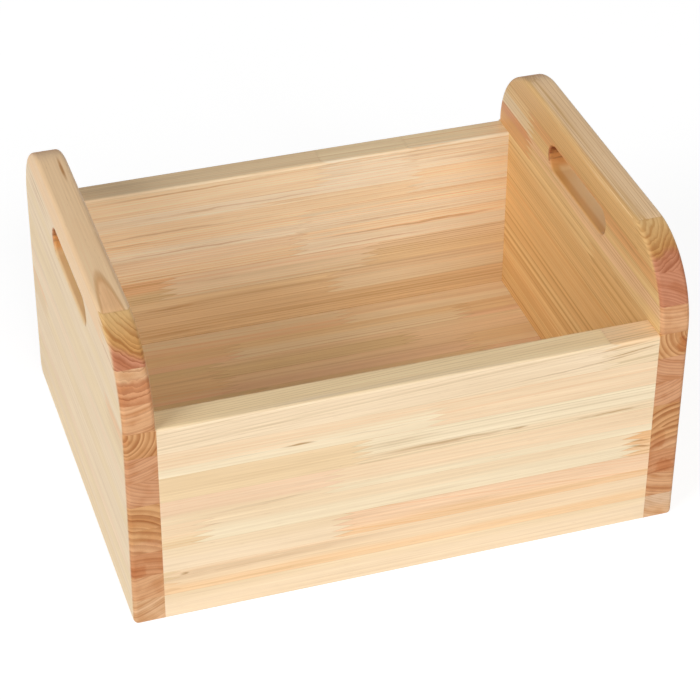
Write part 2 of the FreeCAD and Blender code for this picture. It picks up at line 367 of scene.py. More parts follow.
    cut = ramp(tree, given["Facing"], *onset["cut"])
    colour = mixColour(tree, cut, face, end)
    height = maths(tree, "MULTIPLY_ADD", faceLine, relief["line"], swing(tree, fibre, relief["fibre"]))
    endHeight = maths(tree, "MULTIPLY_ADD", endLine, relief["line"], swing(tree, speck, relief["speck"]))
    height = mixValue(tree, cut, height, endHeight)
    height = maths(tree, "SUBTRACT", height, maths(tree, "MULTIPLY", duct, relief["duct"]))
    rough = maths(tree, "ADD", wood["roughness"], swing(tree, streaks, gloss["streak"]))
    rough = maths(tree, "ADD", rough, maths(tree, "MULTIPLY", cut, gloss["cut"]))
    rough = maths(tree, "SUBTRACT", rough, maths(tree, "MULTIPLY", faceLine, gloss["line"]))
    return closeGroup(tree, {"Colour": colour, "Height": height, "Rough": rough})


def makeFingerJoint():
    # Where one block ends and the next begins: a zigzag on the faces, a straight line on the edges
    tree, given = newGroup("fingerJoint", [
        ("Place", "Vector", (0.0, 0.0, 0.0)),
        ("At", "Float", 0.0),
    ], [("Beyond", "Float"), ("Glue", "Float")])
    along, across, _ = separate(tree, given["Place"])
    steps = maths(tree, "ADD", maths(tree, "DIVIDE", across, wood["fingerPitch"]), 0.25)
    zigzag = maths(tree, "ABSOLUTE", maths(tree, "SUBTRACT", maths(tree, "FRACT", steps), 0.5))
    zigzag = maths(tree, "MULTIPLY", maths(tree, "SUBTRACT", zigzag, 0.25), 2 * wood["fingerReach"])
    gap = maths(tree, "SUBTRACT", along, maths(tree, "ADD", given["At"], zigzag))
    slope = wood["fingerPitch"] / 2 / wood["fingerReach"]
    near = maths(tree, "MULTIPLY", maths(tree, "ABSOLUTE", gap), slope)
    return closeGroup(tree, {
        "Beyond": maths(tree, "GREATER_THAN", gap, 0.0),
        "Glue": ramp(tree, near, *onset["glueLine"]),
    })


def makePitchStreak():
    # A thin dark streak of pitch along the grain
    tree, given = newGroup("pitchStreak", [
        ("Place", "Vector", (0.0, 0.0, 0.0)),
        ("Centre", "Vector", (0.0, 0.0, 0.0)),
        ("Half length", "Float", 20.0),
        ("Half width", "Float", 0.8),
        ("Half depth", "Float", 1000.0),     # through the board; it runs right through by itself
        ("Slope", "Float", 0.0),
    ], [("Mask", "Float")])
    along, across, through = separate(tree, vectorMaths(tree, "SUBTRACT", given["Place"], given["Centre"]))
    waver = swing(tree, noise(tree, given["Place"], grain["waver"]), wobble["pitch"])
    drift = maths(tree, "SUBTRACT", across, maths(tree, "MULTIPLY", along, given["Slope"]))
    wide = maths(tree, "DIVIDE", maths(tree, "ADD", drift, waver), given["Half width"])
    far = maths(tree, "DIVIDE", along, given["Half length"])
    deep = maths(tree, "DIVIDE", through, given["Half depth"])
    far = vectorMaths(tree, "LENGTH", combine(tree, far, wide, deep))
    broken = ramp(tree, noise(tree, given["Place"], grain["broken"], 3.0), *onset["broken"])
    return closeGroup(tree, {"Mask": maths(tree, "MULTIPLY", ramp(tree, far, *onset["pitch"]), broken)})


def makeStaveSeamAndEdge():
    # What happens at a stave's borders: the glue seam, and edges rubbed smooth and made lighter, partly by
    # wear, partly as a painted highlight where the rounding catches the light
    tree, given = newGroup("staveSeamAndEdge", [
        ("Place", "Vector", (0.0, 0.0, 0.0)),
        ("Colour", "Color", linear(tones["cream"])),
        ("Rough", "Float", 0.5),
        ("Sideways", "Float", 0.0),          # 1 on a surface that lies in the seam's plane
        ("Outwards", "Float", 1.0),          # 1 on the two faces of the board
        ("Half width", "Float", 9.0),
    ], [("Colour", "Color"), ("Rough", "Float")])
    _, across, _ = separate(tree, given["Place"])
    rim = maths(tree, "SUBTRACT", given["Half width"], maths(tree, "ABSOLUTE", across))
    seam = ramp(tree, rim, *onset["seam"])
    seam = maths(tree, "MULTIPLY", seam, ramp(tree, given["Sideways"], *onset["seamSide"]))
    uneven = ramp(tree, noise(tree, given["Place"], grain["glue"]), *onset["glue"])
    seam = maths(tree, "MULTIPLY", seam, uneven)
    colour = tint(tree, seam, given["Colour"], opaque(wood["seamTone"]))
    # an edge is where the surface turns from face to side: strongest half way round
    square = maths(tree, "MULTIPLY", given["Outwards"], given["Outwards"])
    wearAndPaintedLight = maths(tree, "MULTIPLY", maths(tree, "MULTIPLY", square, maths(tree, "SUBTRACT", 1.0, square)), 4.0)
    rubbed = ramp(tree, noise(tree, given["Place"], grain["rubbed"], 3.0), *onset["rubbed"])
    wearAndPaintedLight = maths(tree, "MULTIPLY", wearAndPaintedLight, rubbed)
    # lighter edges: rubbing wear, and a painted highlight on the rounding
    colour = tint(tree, wearAndPaintedLight, colour, opaque(wood["wearAndHighlightTone"]))
    rough = maths(tree, "SUBTRACT", given["Rough"], maths(tree, "MULTIPLY", wearAndPaintedLight, gloss["wearAndPaintedLight"]))
    return closeGroup(tree, {"Colour": colour, "Rough": rough})


def makeResinStain():
    # A patch of resin in the front end grain, at its place across and through the stave
    tree, given = newGroup("resinStain", [
        ("Place", "Vector", (0.0, 0.0, 0.0)),
        ("Facing", "Float", 0.0),
        ("Across", "Float", 0.0),
        ("Through", "Float", 0.0),
        ("Half width", "Float", 4.0),
        ("Half depth", "Float", 4.0),
    ], [("Mask", "Float")])
    along, across, through = separate(tree, given["Place"])
    wide = maths(tree, "DIVIDE", maths(tree, "SUBTRACT", across, given["Across"]), given["Half width"])
    deep = maths(tree, "DIVIDE", maths(tree, "SUBTRACT", through, given["Through"]), given["Half depth"])
    far = vectorMaths(tree, "LENGTH", combine(tree, 0.0, wide, deep))
    uneven = noise(tree, given["Place"], grain["soaked"], 3.0)
    far = maths(tree, "ADD", far, swing(tree, uneven, wobble["soaked"]))
    soaked = ramp(tree, far, *onset["soaked"])
    mask = maths(tree, "MULTIPLY", soaked, ramp(tree, given["Facing"], *onset["cut"]))
    return closeGroup(tree, {"Mask": maths(tree, "MULTIPLY", mask, maths(tree, "LESS_THAN", along, 0.0))})


grip = {  # the hand hole: its middle above the underside, half its straight run, its end radius
    "middle": 168.8,
    "halfRun": 38.5,
    "radius": 9.5,
    "reach": (9.0, 0.5),              # mm around it where hands have darkened the wood, none to all
    "patches": (0.25, 0.7),           # and where they did, in the noise
    "outerToMiddle": (-8.0, -4.0),    # mm through the board, from its middle inwards
    "middleToInner": (2.0, 5.5),
    "faceToEnd": (0.3, 0.8),
    "tornEndShade": (-3.5, 5.0),              # mm above its middle, where the painted shade at the top of its end sets in
    "tornEndShadeStray": 22.0,
    "liningEdge": (0.9, 0.1),         # mm outside the hole
    "outerWall": (255, 216, 160),     # its wall, by the bin's outside, in the middle and by the inside: painted light and shade, lighter where light comes through from outside, darker by the inside
    "middleWall": (255, 217, 156),
    "innerWall": (236, 178, 100),
    "endWall": (238, 172, 98),        # where it is cut across the grain, darkened as painted shade
    # painted shade at the top of the hole's end, its edge streaked like torn grain
    "shadedTornWall": (150, 84, 40),
    "handled": (0.97, 0.94, 0.89),
    "lining": 0.78,                   # how much of the wall's painted tones cover the stave's own
    "polish": 0.12,                   # what handling takes from the roughness
}


def makeGripWallShadeAndWear():
    # The hand hole's wall, with painted light and shade on it, and the handled wood around it
    tree, given = newGroup("gripWallShadeAndWear", [
        ("Place", "Vector", (0.0, 0.0, 0.0)),
        ("Facing", "Float", 0.0),
        ("Middle", "Float", 0.0),            # of the hole, across the stave
        ("Inwards", "Float", 1.0),           # 1 or -1: which way through the board the inside lies
    ], [("Wall", "Color"), ("Lining", "Float"), ("Handled", "Float")])
    along, across, through = separate(tree, given["Place"])
    run = maths(tree, "SUBTRACT", maths(tree, "ABSOLUTE", along), grip["halfRun"])
    run = maths(tree, "MAXIMUM", run, 0.0)
    drop = maths(tree, "SUBTRACT", across, given["Middle"])
    gap = vectorMaths(tree, "LENGTH", combine(tree, run, drop, 0.0))
    gap = maths(tree, "SUBTRACT", gap, grip["radius"])
    uneven = ramp(tree, noise(tree, given["Place"], grain["handled"], 3.0), *grip["patches"])
    # painted light and shade on the wall: lighter towards the bin's outside, darker by its inside
    inwards = maths(tree, "MULTIPLY", through, given["Inwards"])
    wall = mixColour(tree, ramp(tree, inwards, *grip["outerToMiddle"]),
                     linear(grip["outerWall"]), linear(grip["middleWall"]))
    wall = mixColour(tree, ramp(tree, inwards, *grip["middleToInner"]), wall, linear(grip["innerWall"]))
    # painted shade at the top of the hole's end, its edge streaked like torn grain
    tornEndShade = swing(tree, noise(tree, given["Place"], grain["tornEndShade"]), grip["tornEndShadeStray"])
    tornEndShade = ramp(tree, maths(tree, "ADD", drop, tornEndShade), *grip["tornEndShade"])
    end = mixColour(tree, tornEndShade, linear(grip["endWall"]), linear(grip["shadedTornWall"]))
    return closeGroup(tree, {
        "Wall": mixColour(tree, ramp(tree, given["Facing"], *grip["faceToEnd"]), wall, end),
        "Lining": ramp(tree, gap, *grip["liningEdge"]),
        "Handled": maths(tree, "MULTIPLY", ramp(tree, gap, *grip["reach"]), uneven),
    })


groups = {
    "block": makeWoodBlock(),
    "joint": makeFingerJoint(),
    "pitch": makePitchStreak(),
    "resin": makeResinStain(),
    "seamAndEdge": makeStaveSeamAndEdge(),
    "grip": makeGripWallShadeAndWear(),
}
print("node groups made:", ", ".join(g.name for g in groups.values()))


def block(low, high=None, split=0.0, pith=(60, 15), lean=(0.012, 0.0), ring=2.2, wander=2.0,
          line="brown", lines=0.45, end="buff", endLines=0.7, **more):
    # more: slant, skew, mingle, figure, curl, heart and heartTone, and highEnd for a second end tone
    return {"low": low, "high": high or low, "split": split, "pith": pith, "lean": lean, "ring": ring,
            "wander": wander, "line": line, "lines": lines, "end": end, "endLines": endLines,
            "highEnd": end, "slant": 0.0, "skew": 0.0, "mingle": 5.0, "figure": 1.0, "curl": 0.3,
            "heart": -5.0, "heartTone": "tan", **more}


def streak(along, across, halfLength, halfWidth, strength, slope=0.0, through=0.0, halfDepth=1000.0):
    shape = {"Centre": (float(along), float(across), float(through)), "Half length": float(halfLength),
             "Half width": float(halfWidth), "Half depth": float(halfDepth), "Slope": float(slope)}
    return shape, strength


def stain(across, through, halfWidth, halfDepth, strength):
    shape = {"Across": float(across), "Through": float(through), "Half width": float(halfWidth),
             "Half depth": float(halfDepth)}
    return shape, strength


def stave(blocks, joints=(), streaks=(), glue=0.3, stains=()):
    # a row of streaks or of stains holds what the function of that name takes
    return {"blocks": blocks, "joints": joints, "glue": glue,
            "streaks": [streak(*row) for row in streaks], "stains": [stain(*row) for row in stains]}


# How each kind of board turns the frame's directions into along, across and through
upright = {"matrix": Matrix(((1, 0, 0), (0, 0, 1), (0, -1, 0))), "along": 0, "across": 2, "through": 1}
turns = {
    "front": upright,
    "back": upright,
    "end": {"matrix": Matrix(((0, 1, 0), (0, 0, 1), (1, 0, 0))), "along": 1, "across": 2, "through": 0},
    "floor": {"matrix": Matrix.Identity(3), "along": 0, "across": 1, "through": 2},
}

frontBoard = {
    8: stave([block("pale", "butter", 4, (60, -50), (0.05, 0), 1.7, 2.5, "grey", 0.55, slant=-0.6),
              block("cream", "amber", 7.5, (50, -45), (0.06, 0), 1.8, 2.0, "grey", 0.9)], [128],
             [(134, 5.9, 28, 0.8, 0.6, 0.065), (142, 1.5, 24, 0.9, 0.9, 0.10),
              (129, -1.7, 34, 0.8, 0.6, 0.08), (92, -4.5, 34, 0.7, 0.4, 0.04),
              (-110, -8.0, 50, 0.7, 0.2)], glue=0.1),
    7: stave([block("white", "peach", 2.6, (-80, 30), (0.01, 0), 2.4, 2.0, "rose", 0.35, skew=-0.034),
              block("peach", "peach", 1, (60, 20), (0.02, 0), 2.2, 2.0, "rose", 0.5)], [15],
             [(-73, -2.8, 14, 1.1, 1.0), (-110, -3.4, 30, 0.5, 0.25), (-25, -3.2, 40, 0.6, 0.25)], glue=0.1),
    6: stave([block("tan", "tan", -2, (-70, 30), (0.0, 0), 2.0, 1.5, "brown", 0.2),
              block("cream", "white", -3, (75, -25), (0.006, 0), 1.9, 2.0, "grey", 0.6)], [-33],
             [(24, -4.2, 60, 2.6, 0.3), (24, -4.4, 54, 1.2, 0.45), (68, -5.0, 9, 0.9, 0.9),
              (-12, 2.0, 26, 4.0, 0.12), (130, -6.6, 34, 0.9, 0.8), (-4, 4.0, 34, 1.4, 0.25)], glue=0.15),
    5: stave([block("cream", "pink", -4, (-90, 10), (-0.004, 0), 2.6, 2.5, "rose", 0.35),
              block("white", "peach", -3, (-80, 30), (0.01, 0), 2.8, 2.0, "rose", 0.35)], [-51],
             [(-85, -5.5, 32, 0.6, 0.35), (-105, -6.4, 46, 1.3, 0.3)], glue=0.1),
    4: stave([block("tan", "peach", 0, (80, 0), (0.0, 0), 2.0, 2.0, "rose", 0.5),
              block("white", "cream", 1, (-90, 25), (0.012, 0), 2.4, 3.0, "brown", 0.15),
              block("apricot", "copper", 0, (60, -10), (0.0, 0), 2.0, 2.0, "brown", 0.6)], [-134, 147],
             [(-128, 3.5, 9, 0.8, 0.3), (20, -4.4, 45, 1.2, 0.15), (152, 2.5, 9, 0.9, 0.6, -0.1),
              (153, -2.5, 12, 1.1, 0.8, -0.2)], 0.2),
    3: stave([block("pale", "cream", 2, (80, 30), (0.0, 0), 3.0, 2.0, "brown", 0.1),
              block("apricot", "salmon", -2, (-70, 25), (-0.08, 0), 2.2, 2.5, "rose", 0.6, figure=1.4)],
             [-45], glue=0.25),
    2: stave([block("apricot", "tan", 0, (70, 0), (0.0, 0), 2.2, 2.0, "brown", 0.2),
              block("amber", "peach", -2.5, (-70, 15), (0.004, 0), 2.8, 2.5, "rose", 0.35)], [-156],
             [(-147, 5.5, 4, 1.2, 0.9), (-95, 4.2, 115, 4.6, 0.32, 0.01), (-90, -6.5, 70, 2.0, 0.15),
              (70, -6.5, 130, 1.2, 0.2)], glue=0.1),
    1: stave([block("pale", "cream", 4, (85, 40), (0.006, 0), 3.0, 2.0, "brown", 0.12)]),
}
lively = {"mingle": 15.0, "figure": 1.4}      # wood of many fine pale and dark stripes
backBoard = {
    8: stave([block("blond", "tan", 4, (55, 50), (0.01, 0), 1.6, 2.0, "rose", 0.6, slant=-0.6, figure=1.6),
              block("milk", "straw", 4, (50, 45), (0.01, 0), 1.5, 2.0, "rose", 0.7, slant=-0.6, figure=1.6),
              block("milk", "straw", 4, (60, 40), (0.0, 0), 1.5, 2.0, "rose", 1.0, slant=-0.6, figure=1.6)],
             [23, 86], [(-80, 4.4, 60, 0.8, 0.35), (110, 3.6, 60, 1.6, 0.4), (130, -3.0, 40, 1.4, 0.35),
                        (60, 7.0, 110, 0.8, 0.3)], glue=0.1),
    7: stave([block("blond", "milk", 2, (-75, 20), (0.0, 0), 1.7, 2.0, "rose", 0.8, **lively),
              block("milk", "blond", 0, (70, -20), (0.0, 0), 1.6, 2.0, "rose", 1.0, **lively)],
             [91], [(-40, 5.2, 110, 0.8, 0.4), (-95, -7.6, 70, 0.9, 0.45), (-10, 0.5, 50, 0.7, 0.3)],
             glue=0.1),
    6: stave([block("milk", "blond", 0, (75, 10), (0.0, 0), 1.9, 2.0, "rose", 0.9, **lively),
              block("milk", "blond", 2, (70, 25), (0.0, 0), 1.5, 2.0, "rose", 1.0, **lively)],
             [9], [(-70, -6.4, 90, 0.9, 0.5), (-118, 4.2, 30, 0.7, 0.5), (80, -6.8, 80, 0.9, 0.35),
                   (100, 3.4, 60, 0.7, 0.35)], glue=0.1),
    5: stave([block("blond", "pale", 1, (-75, 10), (0.0, 0), 1.8, 2.0, "rose", 0.9, **lively),
              block("milk", "blond", 3, (70, 10), (0.0, 0), 1.8, 2.0, "rose", 0.8, **lively)],
             [5], [(80, 1.8, 85, 1.2, 0.6), (120, 2.8, 50, 1.1, 0.6), (60, -5.8, 60, 0.8, 0.45),
                   (-100, -7.4, 50, 0.9, 0.35)], glue=0.3),
    4: stave([block("olive", "apricot", 0.5, (60, 0), (0.0, 0), 1.9, 2.0, "brown", 0.6, mingle=9.0),
              block("white", "pale", 0, (-80, 10), (0.0, 0), 1.9, 2.0, "rose", 0.7, **lively),
              block("straw", "cream", 0, (-80, 10), (0.0, 0), 1.6, 2.0, "brown", 0.85, **lively)],
             [-90, 58], [(-62, 1.6, 30, 0.9, 0.35), (-128, 4.5, 18, 0.9, 0.35)], glue=0.2),
    # The lower staves, 1 to 3, are browner: partly the wood, partly painted shade of the cards and books that
    # stood in the bin
    3: stave([block("tan", "straw", 4, (60, 10), (0.0, 0), 1.9, 2.0, "brown", 0.7, **lively),
              block("white", "cream", 2, (70, 10), (0.0, 0), 2.4, 2.0, "brown", 0.5, **lively)],
             [32], [(-85, 1.2, 34, 1.2, 0.4)], glue=0.15),
    2: stave([block("tan", "tan", 2, (-70, 30), (0.0, 0), 1.9, 2.0, "brown", 0.6, figure=1.6)],
             [], [(-90, -1.5, 60, 0.9, 0.4), (-40, -7.0, 120, 0.8, 0.3)]),
    1: stave([block("honey", "golden", 0, (-70, 20), (0.0, 0), 2.3, 2.0, "brown", 0.6, **lively)],
             [], [(-70, 0.2, 80, 1.1, 0.5)]),
}
# The two ends were cut from one panel, so their grain is the same in mirror image. The front
# corner of stave 11 is a short block with its rings set across those of the long one.
endFronts = {
    9: block("cream", "straw", 0, (60, -10), (0.008, 0), 2.5, 2.0, "brown", 0.2, "buff", 0.55),
    8: block("straw", "cream", 0, (10, -13), (0.01, 0), 3.3, 1.5, "brown", 0.2, "ochre", 0.95),
    7: block("cream", "straw", -5, (57, -18), (0.01, 0), 2.1, 2.0, "brown", 0.15, "salmon", 0.65),
    6: block("cream", "peach", 2, (50, 18), (0.0, 0), 2.4, 2.0, "rose", 0.15, "salmon", 0.6),
    5: block("straw", "cream", 4, (-30, -11), (0.005, 0), 4.4, 1.0, "brown", 0.2, "ochre", 1.0),
    4: block("cream", "cream", 0, (-45, -14), (0.0, 0), 5.0, 1.5, "brown", 0.15, "buff", 0.8,
             highEnd="ochre"),
    3: block("peach", "cream", 0, (-60, -6), (0.0, 0), 3.0, 2.0, "rose", 0.15, "russet", 0.55),
    2: block("cream", "straw", -2, (60, -16), (0.0, 0), 2.6, 2.0, "brown", 0.15, "buff", 0.6),
    1: block("cream", "straw", 0, (60, -25), (0.0, 0), 1.8, 1.5, "brown", 0.1, "bone", 0.45),
}
cornerBlock = block("peach", "honey", -3.0, (44, 22), (0.0, 0), 2.0, 3.0, "brown", 0.9, "brick", 1.0,
                    highEnd="gold", slant=0.45, mingle=3.0, curl=3.2)
# The right end's inner face, riper and more golden than the outer face of the left end
ripe = {"low": "honey", "high": "golden", "lines": 0.75, **lively}


def mirrored(spec, **changes):
    return {**spec, "pith": (spec["pith"][0], -spec["pith"][1]), "slant": -spec["slant"], **changes}


leftEnd = {n: stave([spec]) for n, spec in endFronts.items()}
leftEnd[11] = stave([cornerBlock,
                     block("amber", "amber", 0, (-3.1, -1.2), (-0.09, 0.0), 7.0, 0.6, "rose", 0.2, "ochre",
                           0.8, heart=7.6, heartTone="copper")],
                    [-93], [(76, 9, 20, 6.0, 1.0, 0, 4.0, 1.5), (-20, 9, 80, 6.0, 0.22, 0, 7.4, 1.4),
                            (40, 9, 60, 6.0, 0.2, 0, 6.4, 0.8)], glue=0.2)
leftEnd[10] = stave([block("cream", "peach", 4, (52, 0), (0.0, 0), 3.2, 2.0, "rose", 0.25, "russet", 0.85,
                           highEnd="bone", mingle=14.0, curl=5.0)],
                    [], [(94, 3.6, 46, 1.6, 0.4), (92, -1.2, 46, 2.4, 0.4), (96, -4.4, 42, 1.4, 0.4)])
leftEnd[9] = stave([endFronts[9]], [], [(70, -6.5, 70, 1.4, 0.25)])
leftEnd[8] = stave([{**endFronts[8], "low": "tan", "high": "apricot"}, endFronts[8]], [-97],
                   [(60, 3.0, 80, 4.0, 0.16)], glue=0.1,
                   stains=[(4.5, -8.5, 5.0, 3.0, 0.6)])
leftEnd[5] = stave([endFronts[5], block("tan", "apricot", 6, (-60, 10), (0.0, 0), 2.2, 2.0, "brown", 0.2)],
                   [92], glue=0.05)
leftEnd[3] = stave([endFronts[3]], stains=[(-5.0, -5.5, 6.5, 5.5, 0.75)])
leftEnd[4] = stave([endFronts[4]], stains=[(0.5, 5.0, 6.0, 5.0, 0.35)])
rightEnd = {n: stave([mirrored(spec, **ripe)]) for n, spec in endFronts.items()}
rightEnd[11] = stave([mirrored(cornerBlock, split=-1.0, slant=-0.16, low="honey"),
                      block("honey", "amber", 6, (-45, -50), (0.0, 0), 1.3, 1.5, "brown", 0.65, "ochre", 0.8,
                            slant=0.5, mingle=12.0, figure=1.5)],
                     [-93], [(-30, 9, 90, 6.0, 0.35, 0, -8.2, 1.6), (30, 9, 70, 6.0, 0.3, 0, -5.6, 0.9)],
                     glue=0.1)
rightEnd[10] = stave([block("golden", "orange", -1, (-50, -20), (0.0, 0), 1.8, 2.0, "brown", 0.6, "brick",
                            0.55, **lively),
                      block("straw", "golden", 0, (60, 10), (0.0, 0), 2.6, 2.0, "brown", 0.7, **lively)],
                     [81], [(-90, 5.5, 45, 1.4, 0.35), (60, 6.5, 22, 1.4, 0.3)], glue=0.15)
rightEnd[9] = stave([mirrored(endFronts[9], low="golden", high="apricot", lines=0.7, pith=(60, 3), **lively),
                     block("orange", "rust", 2, (60, 10), (0.0, 0), 2.0, 2.0, "rose", 0.5, **lively)],
                    [83], [(-20, -7.6, 120, 1.0, 0.35)], glue=0.2)
rightEnd[8] = stave([mirrored(endFronts[8], low="honey", high="honey", lines=1.0, figure=1.6),
                     block("honey", "golden", 0, (70, 10), (0.0, 0), 2.0, 2.0, "brown", 0.7, **lively)],
                    [-31], [(-72, 5.2, 52, 0.9, 0.4), (-80, 7.4, 44, 0.7, 0.3)], glue=0.1,
                    stains=[(-1.4, 7.0, 7.0, 5.0, 1.0)])
rightEnd[1] = stave([mirrored(endFronts[1], end="bone", highEnd="shell", endLines=0.35, **ripe)])
rightEnd[3] = stave([mirrored(endFronts[3], **ripe)], stains=[(-4.0, 1.5, 7.0, 7.5, 0.8)])
rightEnd[4] = stave([mirrored(endFronts[4], **ripe)], stains=[(0.0, -4.5, 8.0, 6.0, 0.6)])
# Staves 5 to 7 of the right end are darker here: painted shade of a slipcase that stood against them
for n in (5, 6, 7):
    rightEnd[n]["blocks"][0].update(high="honey", lines=0.9, figure=1.2)

# Staves with nothing of their own above get blocks at random, from one seed
loose = {
    "seed": 11,
    "tones": ["white", "cream", "straw", "tan", "olive", "peach", "pink", "salmon"],
    "blockLength": (90, 260),
    "shortest": 20,                   # no block ends nearer to the stave's end
    "mostJoints": 2,
    "split": (-5, 5),
    "pithDistance": (35, 90),
    "lean": (-0.02, 0.02),
    "ring": (1.6, 2.8),
    "line": ["brown", "brown", "grey", "rose"],
    "lines": (0.3, 0.7),
}
chance = random.Random(loose["seed"])


def randomBlock():
    low, high = chance.sample(loose["tones"], 2)
    turn = chance.uniform(0, 2 * math.pi)
    reach = chance.uniform(*loose["pithDistance"])
    pith = (reach * math.cos(turn), reach * math.sin(turn))
    split = chance.uniform(*loose["split"])
    lean = (chance.uniform(*loose["lean"]), 0.0)
    return block(low, high, split, pith, lean, chance.uniform(*loose["ring"]), 2.0,
                 chance.choice(loose["line"]), chance.uniform(*loose["lines"]))


def randomStave(halfLength):
    joints = []
    at = -halfLength + chance.uniform(*loose["blockLength"])
    while at < halfLength - loose["shortest"] and len(joints) < loose["mostJoints"]:
        joints.append(at)
        at += chance.uniform(*loose["blockLength"])
    return stave([randomBlock() for _ in range(len(joints) + 1)], joints)


measures = ("split", "slant", "skew", "mingle", "figure", "ring", "wander", "curl", "heart", "lines")


def staveMaterial(name, spec, kind, centre, halfWidth, seed):
    turn = turns[kind]
    material, tree = newMaterial("wood_" + name)
    where = addNode(tree, "ShaderNodeTexCoord").outputs
    middle = -(turn["matrix"] @ centre) / mm
    middle.x = 0.0                    # along the board, lengths count from the bin's own middle
    place = addNode(tree, "ShaderNodeMapping", {
        "Vector": where["Object"],
        "Location": middle,
        "Rotation": turn["matrix"].to_euler(),
        "Scale": (1 / mm, 1 / mm, 1 / mm),
    }).outputs[0]
    normal = separate(tree, where["Normal"])
    facing = maths(tree, "ABSOLUTE", normal[turn["along"]])
    sideways = maths(tree, "ABSOLUTE", normal[turn["across"]])
    outwards = maths(tree, "ABSOLUTE", normal[turn["through"]])

    surface = None
    for n, piece in enumerate(spec["blocks"]):
        made = useGroup(tree, groups["block"], {
            "Place": place,
            "Facing": facing,
            "Low tone": linear(tones[piece["low"]]),
            "High tone": linear(tones[piece["high"]]),
            "Low end": linear(endTones[piece["end"]]),
            "High end": linear(endTones[piece["highEnd"]]),
            "Heart tone": linear(tones[piece["heartTone"]]),
            "Pith": (0.0, float(piece["pith"][0]), float(piece["pith"][1])),
            "Lean": (0.0, float(piece["lean"][0]), float(piece["lean"][1])),
            "Line tone": opaque(lineTones[piece["line"]]),
            "End lines": float(piece["endLines"]),
            "Seed": seed + seeds["perBlock"] * n,
            **{key.capitalize(): float(piece[key]) for key in measures},
        })
        if surface is None:
            surface = [made["Colour"], made["Height"], made["Rough"]]
            continue
        joint = useGroup(tree, groups["joint"], {
            "Place": place, "At": float(spec["joints"][n - 1])})
        colour = mixColour(tree, joint["Beyond"], surface[0], made["Colour"])
        glued = maths(tree, "MULTIPLY", joint["Glue"], spec["glue"])
        colour = tint(tree, glued, colour, opaque(wood["glueTone"]))
        surface = [colour, mixValue(tree, joint["Beyond"], surface[1], made["Height"]),
                   mixValue(tree, joint["Beyond"], surface[2], made["Rough"])]
    colour, height, rough = surface
    if kind == "end" and abs(centre.z / mm - grip["middle"]) < halfWidth / mm + grip["radius"]:
        # the hand hole: handled wear around it, and its wall's painted light and shade laid over the stave
        wearAndPaintedLight = useGroup(tree, groups["grip"], {
            "Place": place,
            "Facing": facing,
            "Middle": grip["middle"] - centre.z / mm,
            "Inwards": 1.0 if centre.x < 0 else -1.0,
        })
        colour = tint(tree, wearAndPaintedLight["Handled"], colour, opaque(grip["handled"]))
        lining = maths(tree, "MULTIPLY", wearAndPaintedLight["Lining"], grip["lining"])
        colour = mixColour(tree, lining, colour, wearAndPaintedLight["Wall"])
        rough = maths(tree, "MULTIPLY_ADD", wearAndPaintedLight["Handled"], -grip["polish"], rough)
    for shape, strength in spec["streaks"]:
        mask = useGroup(tree, groups["pitch"], {"Place": place, **shape})["Mask"]
        colour = tint(tree, maths(tree, "MULTIPLY", mask, strength), colour, opaque(pitchTones[kind]))
    for shape, strength in spec["stains"]:
        mask = useGroup(tree, groups["resin"], {"Place": place, "Facing": facing, **shape})["Mask"]
        colour = tint(tree, maths(tree, "MULTIPLY", mask, strength), colour, opaque(wood["resinTone"]))
    done = useGroup(tree, groups["seamAndEdge"], {
        "Place": place, "Colour": colour, "Rough": rough, "Sideways": sideways, "Outwards": outwards,
        "Half width": halfWidth / mm,
    })
    bump = addNode(tree, "ShaderNodeBump", {
        "Strength": wood["bumpStrength"], "Distance": wood["bumpDepth"], "Height": height}).outputs[0]
    shader = addNode(tree, "ShaderNodeBsdfPrincipled", {
        "Base Color": done["Colour"], "Roughness": done["Rough"], "Normal": bump,
        "Specular IOR Level": wood["specular"]})
    addNode(tree, "ShaderNodeOutputMaterial", {"Surface": shader.outputs[0]})
    return material


def setMaterial(thing, material):
    thing.data.materials.clear()
    thing.data.materials.append(material)


boards = {
    "front_board": ("front", frontBoard),
    "back_board": ("back", backBoard),
    "left_end": ("end", leftEnd),
    "right_end": ("end", rightEnd),
    "floor_board": ("floor", {}),
}
seed = seeds["first"]
for board, (kind, known) in boards.items():
    names = sorted(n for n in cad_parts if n.startswith(board + "_stave_"))
    for name in names:
        low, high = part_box(name)
        centre = (low + high) / 2
        size = high - low
        number = int(name[-2:])
        spec = known.get(number) or randomStave(size[turns[kind]["along"]] / 2 / mm)
        halfWidth = size[turns[kind]["across"]] / 2
        setMaterial(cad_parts[name], staveMaterial(name, spec, kind, centre, halfWidth, seed))
        seed += seeds["perStave"]
    print(board + ":", len(names), "staves")


dowelLook = {  # beech: plain, with short flecks
    "light": (222, 184, 142),
    "dark": (200, 156, 112),
    "fleck": (168, 120, 84),
    "fleckStrength": 0.4,
    "fibreGrain": (0.08, 1.5, 1.5),
    "fleckGrain": (0.4, 2.5, 2.5),
    "roughness": (0.5, 0.65),
    "bumpStrength": 0.3,
    "bumpDepth": 0.0002,
}


